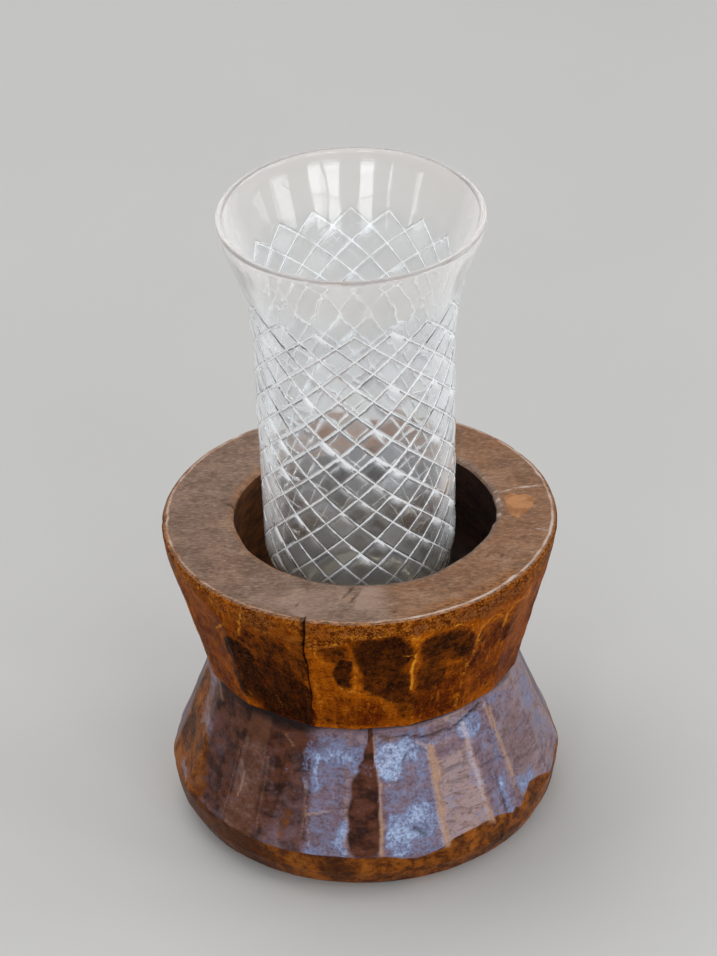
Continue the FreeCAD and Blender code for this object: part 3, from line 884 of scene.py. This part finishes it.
def top_rings(angles, outer, chips):
    """Points of the rim's top and the hollow, and their places: 0 to 1 inwards, then 1 plus the depth."""
    middle = np.array((*hollow_middle, 0.0))
    around = polar(mouth_radius, angles, 0.0)
    mouth_shift = 0.35 * ripple(around, 60, 11) + 0.18 * ripple(around, 14, 12)
    drawn_in = within(turned(angles, 0), -62, -48, -14, -8)
    mouth_shift = mouth_shift + 0.9 * chips - 1.4 * drawn_in
    wall = rounded_line((
        (mouth_radius + mouth_bevel, stand_height, 0), (mouth_radius, stand_height, mouth_rounding),
        (floor_radius, floor_height, floor_rounding), (0, floor_height, 0),
    ), 10)
    inner = middle + polar(wall[1][0] + mouth_shift, angles, stand_height)
    rings = []
    places = []
    for share in np.linspace(0, 1, top_spacings + 1)[1:-1]:
        rings.append(outer * (1 - share) + inner * share)
        places.append(share)
    for radius, height in resample(wall[1:], hollow_spacing)[:-1]:
        depth = stand_height - height
        shift = mouth_shift * np.exp(-depth / 6)
        ring = middle + polar(np.maximum(radius + shift * (radius > 20), 0.2), angles, height)
        scrape = 0.22 * ripple(ring, 16, 14) * smooth(depth, 1, 6) * smooth(radius, 36, 42)
        rings.append(ring + polar(scrape, angles, 0.0))
        places.append(1 + depth)
    points = np.array(rings)
    return points, np.array(places)[:, None] + 0.0 * points[..., 0]


def flaked_patch(points):
    """1 inside the flaked patch of the rim's top, with a ragged edge."""
    x = points[..., 0]
    y = points[..., 1]
    flake = 9.0
    for (start_x, start_y), (end_x, end_y) in zip(flake_corners, flake_corners[1:] + flake_corners[:1]):
        run = end_x - start_x
        rise = end_y - start_y
        inward = (run * (y - start_y) - rise * (x - start_x)) / math.hypot(run, rise)
        flake = np.minimum(flake, inward)
    return smooth(flake + 0.5 * ripple(points, 5, 18), -0.9, 0.9)


def top_and_hollow(angles, outer):
    """Points, marks and places of the rim's top, the mouth and the hollow, from the outer edge inwards."""
    chipped = smooth(np.cos(np.radians(angles) - math.radians(chipped_angle)), 0.975, 0.995)
    chips = chipped * smooth(ripple(polar(mouth_radius, angles, 0.0), 8, 13), -0.2, 0.8)
    points, place = top_rings(angles, outer, chips)
    x = points[..., 0]
    y = points[..., 1]
    flat = place < 1

    # Sagging, pits and the notch
    sag = 0.18 * (ripple(points, 45, 15) - 1.7) * smooth(np.minimum(place, 1 - place), 0.0, 0.12) * flat
    points[..., 2] += np.minimum(sag, 0)
    pits = np.zeros_like(x)
    for pit_x, pit_y, long, wide in rim_pits:
        pits = np.maximum(pits, bell(x - pit_x - (y - pit_y) * 0.5, wide) * bell(y - pit_y, long))
    notch_x = x - notch_place[0]
    notch = bell(y - notch_place[1] + notch_x, 1.3) * bell(notch_x, 2.6) * (place < 9)
    points[..., 2] -= (0.5 * pits + 1.2 * notch) * flat

    # Pale curved lines, worn edges, a varnished part, chips, and a painted sheen at the front
    curve = y - 12.6 - 2.6 * smooth(x, 52, 64) - 0.05 * (x - 50)
    pale_line = (0.42 * bell(curve, 2.0) + 0.3 * bell(curve, 0.7)) * smooth(x, 50, 54)
    pale_line += 0.5 * bell(y + 13.2 + 0.04 * (x - 66) ** 2, 1.1) * smooth(x, 56, 62)
    wear = np.interp(angles, *rim_wear) ** 2 * (0.85 + 0.25 * ripple(points, 9, 16))
    outer_edge = wear * (1 - smooth(place, 0.002, 0.022 + 0.004 * ripple(points, 20, 16)))
    varnish = 0.9 * within(angles, 272, 296, 318, 336)
    varnish = varnish * (1 - smooth(place, 0.06, 0.42 + 0.1 * ripple(points, 12, 19)))
    inner_edge = within(place, 0.95, 0.99, 1.2, 2.4)
    chip_mark = chips * within(place, 0.9, 0.98, 2.5, 5.0)
    chip_tops = sum(np.exp(-((x - chip_x) ** 2 + (y - chip_y) ** 2) / 2.4) for chip_x, chip_y in pale_chips)
    sheen = 0.8 * smooth(30 - np.hypot(x + 22, (y + 59) * 1.5), 0, 24) * (1 - smooth(x, -6, -1))
    wedge = smooth(x - 0.25 * (y + 58), -3, -1) * (1 - smooth(x, 4, 15)) * within(-y, 46, 52, 62, 68)
    worn = 0.85 * outer_edge + 0.14 * inner_edge + 0.8 * chip_mark + 0.8 * chip_tops * (place < 3)
    marks = {
        # Painted sheen at the front with the pale wedge beside it; on the bowl and foot this mark is their
        # stains
        "stain_and_sheen": 0.75 * np.maximum(sheen, 1.1 * wedge) * flat,
        "line": np.clip(pale_line, 0, 1) * flat,
        "band": varnish * flat,
        # Rim: tone of its wood; hollow: painted light on its left inside wall
        "tone_and_light": np.where(flat, smooth(x + 0.25 * y, -20, 8), smooth(-x, 5, 35)),
        "bloom_and_sheen": flaked_patch(points) * flat,
        "worn": np.clip(worn, 0, 1),
        "dark": np.clip(0.75 * pits * flat + 0.9 * notch, 0, 1),
    }
    return points, marks, place


def stitch(rings, columns):
    """Quads between rings of the same number of points, and the ring number of each."""
    ring = np.repeat(np.arange(rings - 1), columns)
    column = np.tile(np.arange(columns), rings - 1)
    after = (column + 1) % columns
    low = ring * columns
    high = low + columns
    return np.stack([low + column, low + after, high + after, high + column], 1), ring


def build_stand():
    """The wooden stand as one closed mesh."""
    angles = stand_angles()
    heights = stand_heights()
    columns = len(angles)
    side, side_marks = flank(angles, heights)
    below = np.array([side[0] * (1, 1, 0) * share for share in bottom_shares])
    top, top_marks, place = top_and_hollow(angles, side[-1])
    floor_middle = (*hollow_middle, top[-1, -1, 2])
    points = np.concatenate([below, side, top]).reshape(-1, 3)
    points = np.concatenate([points, [(0.0, 0.0, 0.0), floor_middle]])
    marks = {}
    for name in side_marks:
        start = np.full((len(below), columns), 0.9 if name == "band" else 0.0)
        values = np.concatenate([start, side_marks[name], top_marks[name]])
        marks[name] = np.append(values, (0.0, 0.0))

    rings = len(below) + len(side) + len(top)
    quads, ring = stitch(rings, columns)
    waist = len(below) + int((heights < waist_height).sum())
    edge = len(below) + int((heights < rim_wood_height).sum())
    mouth = len(below) + len(side) + int((place[:, 0] <= 1 + hollow_wood_depth).sum())
    kinds = np.select([ring < waist, ring < edge, ring < mouth], [2, 1, 0], 3)
    faces = quads.tolist()
    ground_point = rings * columns
    floor_point = ground_point + 1
    floor_ring = (rings - 1) * columns
    for column in range(columns):
        after = (column + 1) % columns
        faces.append((ground_point, after, column))
        faces.append((floor_point, floor_ring + column, floor_ring + after))
    kinds = np.concatenate([kinds, np.tile((2, 3), columns)])
    materials = [rim_material(), bowl_material(), foot_material(), hollow_material()]
    return make_object("carved_stand", points, faces, materials, kinds, marks, 50)


class VaseMesh:
    """Mesh of the vase: a lattice that follows the crossed grooves, and plain rings on its two ends."""

    def __init__(self):
        self.outline = rounded_line(((dish_radius, 0.0, 0.0), *vase_outside), 40)
        self.row_height = (pattern_top - pattern_bottom) / half_rows
        self.parts = len(groove_shares) - 1
        self.tilts = np.random.default_rng(17).uniform(-1, 1, (2 * diamonds_around, half_rows + 3, 3))
        self.points = []
        self.marks = []
        self.faces = []
        self.numbers = {}
        self.ends = {-1: {}, half_rows + 1: {}}

    def add_point(self, point, marks=(0.0, 0.0, 0.0, 0.0)):
        """Number of a new point, with its marks: cut, white, pad and painted roof shade."""
        self.points.append(point)
        self.marks.append(marks)
        return len(self.points) - 1

    def height(self, step, row):
        """Height at a step round the vase and a row down it; past the last rows it runs to a level ring."""
        lean = pattern_lean * math.sin(math.radians(first_diamond_angle + step * half_step))
        if row < 0:
            start = pattern_top + lean
            return start + (plain_top - start) * -row
        if row > half_rows:
            start = pattern_bottom + lean
            return start + (plain_bottom - start) * (row - half_rows)
        return pattern_top - row * self.row_height + lean

    def cut(self, centre_row, across, down):
        """Share of the full groove depth at a place in a diamond, and how white its wall is: white at the
        bottom, and a painted highlight where the wall looks up.
        """
        upper, lower = [1.0], [1.0]
        if 1 <= centre_row <= half_rows:
            upper += [across, down]
        if 0 <= centre_row <= half_rows - 1:
            lower += [1 - across, 1 - down]
        if centre_row == -1:
            lower.append(math.hypot(1 - across, 1 - down))
        if centre_row == half_rows + 1:
            upper.append(math.hypot(across, down))
        cut = max(0.0, 1 - min(upper + lower) / groove_half_share)
        looks_up = max(0.0, 1 - min(upper) / groove_half_share)
        white = 1.0 if cut > 0.999 else float(smooth(looks_up, 0.2, 0.9))
        return cut, white

    def pad(self, tilts, across, down, height):
        """How far a place in a tilted pad is sunk, and its marks: white (a painted highlight wedge), pad, and
        painted roof shade along its upper edges.
        """
        tilt_across, tilt_down, shade = tilts
        sunk = pad_tilt * (1 + (tilt_across * (2 * across - 1) + tilt_down * (2 * down - 1)) / 2)
        milk = (0.5 + 0.5 * shade) ** 2 * (0.3 + 0.7 * smooth(height, 30, 80))
        # Painted roof shade along the pad's upper edges, fainter higher up
        left = (1 - smooth(across, 0.12, 0.34)) * (0.6 + 0.4 * tilt_across)
        right = (1 - smooth(down, 0.12, 0.34)) * max(0.0, -tilt_down)
        roof_shade = max(left, right) * (1 - 0.65 * smooth(height, 78, 104))
        # Painted highlight: a white wedge along one upper edge
        wedge = max(0.0, tilt_down) * (1 - smooth(down, 0.1, 0.34)) * (1 - smooth(across, 0.3, 1.0))
        wedge = min(1.0, wedge * (1 + 0.6 * within(height, 20, 40, 85, 105)))
        return sunk, wedge, milk, roof_shade

    def vertex(self, i, j, p, q):
        """Number of the point at subdivisions p and q of diamond (i, j)."""
        a = i * self.parts + p
        b = j * self.parts + q
        around = 2 * diamonds_around
        key = ((a - b) % (around * self.parts), a + b)
        if key not in self.numbers:
            across, down = groove_shares[p], groove_shares[q]
            step = i + across - j - down
            height = self.height(step, i + across + j + down)
            centre_row = i + j + 1
            cut, white = self.cut(centre_row, across, down)
            radius = np.interp(height, self.outline[:, 1], self.outline[:, 0]) - groove_depth * cut
            marks = (cut, white, 0.0, 0.0)
            if 1 <= centre_row < half_rows:
                tilts = self.tilts[(i - j) % around, centre_row]
                sunk, wedge, milk, roof_shade = self.pad(tilts, across, down, height)
                radius -= sunk * (1 - cut)
                marks = (cut, max(white, wedge), milk, roof_shade)
            angle = first_diamond_angle + step * half_step
            self.numbers[key] = self.add_point(polar(radius, angle, height), marks)
        return self.numbers[key]

    def add_diamond(self, step, row):
        """Faces of one diamond, or of the inner half of one past the last grooves."""
        i, j = (step + row - 1) // 2, (row - 1 - step) // 2
        parts = self.parts
        for p in range(parts):
            for q in range(parts):
                corners = [(p, q), (p, q + 1), (p + 1, q + 1), (p + 1, q)]
                if row == -1:
                    corners = [corner for corner in corners if sum(corner) >= parts]
                if row == half_rows + 1:
                    corners = [corner for corner in corners if sum(corner) <= parts]
                if len(corners) >= 3:
                    self.faces.append([self.vertex(i, j, *corner) for corner in corners])
        if row in self.ends:
            for p in range(parts):
                turn = i + groove_shares[p] - j - groove_shares[parts - p]
                angle = (first_diamond_angle + turn * half_step) % 360
                self.ends[row][round(angle, 6)] = self.vertex(i, j, p, parts - p)

    def add_rings(self, row, line, closing):
        """Plain rings (radius, height, blown) from one end of the lattice to a closing point on the axis."""
        end = self.ends[row]
        angles = np.array(sorted(end))
        last = [end[angle] for angle in angles]
        order = 1 if row < 0 else -1
        for radius, height, blown in line:
            ring = polar(radius, angles, height)
            if blown:
                ring = ring + polar(blown_wave(ring), angles, 0.0)
            this = [self.add_point(point) for point in ring]
            for column in range(len(angles)):
                after = (column + 1) % len(angles)
                self.faces.append([last[column], last[after], this[after], this[column]][::order])
            last = this
        tip = self.add_point(np.array((0.0, 0.0, closing)))
        for column in range(len(angles)):
            self.faces.append([last[column], last[(column + 1) % len(angles)], tip][::order])

    def build(self):
        """The vase as one closed mesh, lifted to its seat."""
        for row in range(-1, half_rows + 2):
            for step in range((row + 1) % 2, 2 * diamonds_around, 2):
                self.add_diamond(step, row)
        flare = self.outline[self.outline[:, 1] > plain_top + 0.5]
        flare = resample(flare[flare[:, 1] < flare_end], ring_spacing)
        lip = rounded_line((*vase_outside[-2:], *vase_inside[:2]), 8)
        down = rounded_line(vase_inside, 24)
        down = resample(down[down[:, 1] < flare_end], ring_spacing)
        line = [(*ring, False) for ring in (*flare, *lip[lip[:, 1] > lip_start])]
        line += [(*ring, True) for ring in down[:-1] if ring[0] > 0.5]
        self.add_rings(-1, line, vase_inside[-1][1])
        foot = self.outline[self.outline[:, 1] < plain_bottom - 0.2][:0:-1]
        self.add_rings(half_rows + 1, [(*ring, False) for ring in (*foot, *under_dish)], dish_depth)

        points = np.array(self.points) + (0, 0, vase_floor)
        cuts, whites, pads, roof_shades = np.array(self.marks).T
        lip_level = vase_floor + vase_height - lip_depth
        kinds = []
        for face in self.faces:
            kinds.append(2 if points[face, 2].min() > lip_level else int(np.mean(cuts[face]) > 0.15))
        level = points[:, 2] - vase_floor
        radius = np.hypot(points[:, 0], points[:, 1])
        inside = radius < np.interp(level, self.outline[:, 1], self.outline[:, 0]) - 2
        marks = {
            "white": whites,
            "pad": pads,
            "roof_shade": roof_shades,
            "flare": smooth(level, 138, 158),
            "thick": 1 - smooth(level, 9, 38),
            "floor": inside * (level > 7) * (1 - smooth(level, 14, 22)),
        }
        materials = [glass_material(), cut_material(), lip_material()]
        return make_object("cut_vase", points, self.faces, materials, kinds, marks, 32)


def blown_wave(ring):
    """Slight upright streaks of the blown inside."""
    streak = 0.5 * ripple(ring * (1, 1, 0.2), 14, 21) + ripple(ring * (1, 1, 0.4), 34, 22)
    return 0.05 * streak * within(ring[..., 2], 10, 25, 158, 166)


stand = build_stand()
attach(stand, "stand")
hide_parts("wooden_stand")

vase = VaseMesh().build()
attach(vase, "vase")
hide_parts("glass_vase")


def pale_floor():
    """Plain pale floor that stays out of the part."""
    reach = 12.0
    mesh = bpy.data.meshes.new("floor")
    corners = [(-reach, -reach, 0), (reach, -reach, 0), (reach, reach, 0), (-reach, reach, 0)]
    mesh.from_pydata(corners, [], [(0, 1, 2, 3)])
    floor = bpy.data.objects.new("floor", mesh)
    bpy.context.scene.collection.objects.link(floor)
    g = Graph("floor_paper")
    tint = g.mix(g.noise(6, 3, 0.5), (0.56, 0.55, 0.53, 1), (0.60, 0.59, 0.57, 1))
    g.set(Base_Color=tint, Roughness=0.9, Specular_IOR_Level=0.1)
    mesh.materials.append(g.material)


def pale_surrounding():
    """Soft pale light from all sides, and the pale backdrop that the camera, mirrors and glass see."""
    world = bpy.data.worlds.new("studio")
    bpy.context.scene.world = world
    world.use_nodes = True
    tree = world.node_tree
    tree.nodes.clear()
    mix = tree.nodes.new("ShaderNodeMixShader")
    for slot, tint, strength in ((1, (0.95, 0.97, 1.0, 1), 0.58), (2, (0.70, 0.70, 0.69, 1), 1.0)):
        background = tree.nodes.new("ShaderNodeBackground")
        background.inputs["Color"].default_value = tint
        background.inputs["Strength"].default_value = strength
        tree.links.new(background.outputs[0], mix.inputs[slot])
    path = tree.nodes.new("ShaderNodeLightPath")
    share = path.outputs["Is Camera Ray"]
    for kind in ("Is Glossy Ray", "Is Transmission Ray"):
        either = tree.nodes.new("ShaderNodeMath")
        either.operation = "MAXIMUM"
        tree.links.new(share, either.inputs[0])
        tree.links.new(path.outputs[kind], either.inputs[1])
        share = either.outputs[0]
    tree.links.new(share, mix.inputs[0])
    output = tree.nodes.new("ShaderNodeOutputWorld")
    tree.links.new(mix.outputs[0], output.inputs[0])


def add_lamp(name, place, size, brightness, tint):
    """Soft rectangular lamp that faces the object; brightness is what a mirror would show of it."""
    data = bpy.data.lights.new(name, "AREA")
    data.shape = "RECTANGLE"
    data.size, data.size_y = size
    data.energy = brightness * math.pi * size[0] * size[1]
    data.color = tint
    lamp = bpy.data.objects.new(name, data)
    lamp.location = place
    aim = Vector((0.0, 0.0, 0.16)) - Vector(place)
    lamp.rotation_euler = aim.to_track_quat("-Z", "Y").to_euler()
    bpy.context.scene.collection.objects.link(lamp)


def studio_lamps():
    """Overhead panel, and tall windows round the front."""
    add_lamp("sky_panel", (-0.5, 0.5, 1.7), (1.5, 1.2), 1.9, (1.0, 0.99, 0.97))
    away = 1.75
    # Angle from the camera's side towards +X, width, brightness
    windows = (
        (98, 0.66, 2.6), (65, 0.50, 3.4), (31, 0.30, 4.4), (16, 0.40, 4.4),
        (-15, 0.40, 4.4), (-37, 0.07, 4.0), (-66, 0.12, 4.0),
    )
    for number, (angle, width, brightness) in enumerate(windows):
        turn = math.radians(angle)
        place = (away * math.sin(turn), -away * math.cos(turn), 0.6)
        add_lamp(f"window_{number}", place, (width, 0.9), brightness, (0.93, 0.965, 1.0))


def photo_camera():
    """Camera at the photograph's viewing angle."""
    focal_pixels, long_side = 6000.0, 956.0
    middle_x, middle_y = 358.5, 478.0
    pitch, roll = math.radians(32.868), math.radians(-1.6)
    rim_x, rim_y, distance = 359.29, 513.70, 2.26836
    ahead = Vector((0, math.cos(pitch), -math.sin(pitch)))
    level = Vector((1, 0, 0))
    upright = level.cross(ahead)
    right = math.cos(roll) * level + math.sin(roll) * upright
    up = -math.sin(roll) * level + math.cos(roll) * upright
    across = (rim_x - middle_x) / focal_pixels * distance
    above = -(rim_y - middle_y) / focal_pixels * distance
    place = Vector((0, 0, stand_height * millimetre)) - (distance * ahead + across * right + above * up)
    data = bpy.data.cameras.new("photo_camera")
    data.sensor_width = 36.0
    data.lens = focal_pixels / long_side * data.sensor_width
    data.clip_start, data.clip_end = 0.1, 40.0
    camera = bpy.data.objects.new("photo_camera", data)
    turn = Matrix((right, up, -ahead)).transposed().to_4x4()
    camera.matrix_world = Matrix.Translation(place) @ turn
    bpy.context.scene.collection.objects.link(camera)
    bpy.context.scene.camera = camera


pale_floor()
pale_surrounding()
studio_lamps()
photo_camera()
bpy.context.scene.view_settings.view_transform = "Standard"
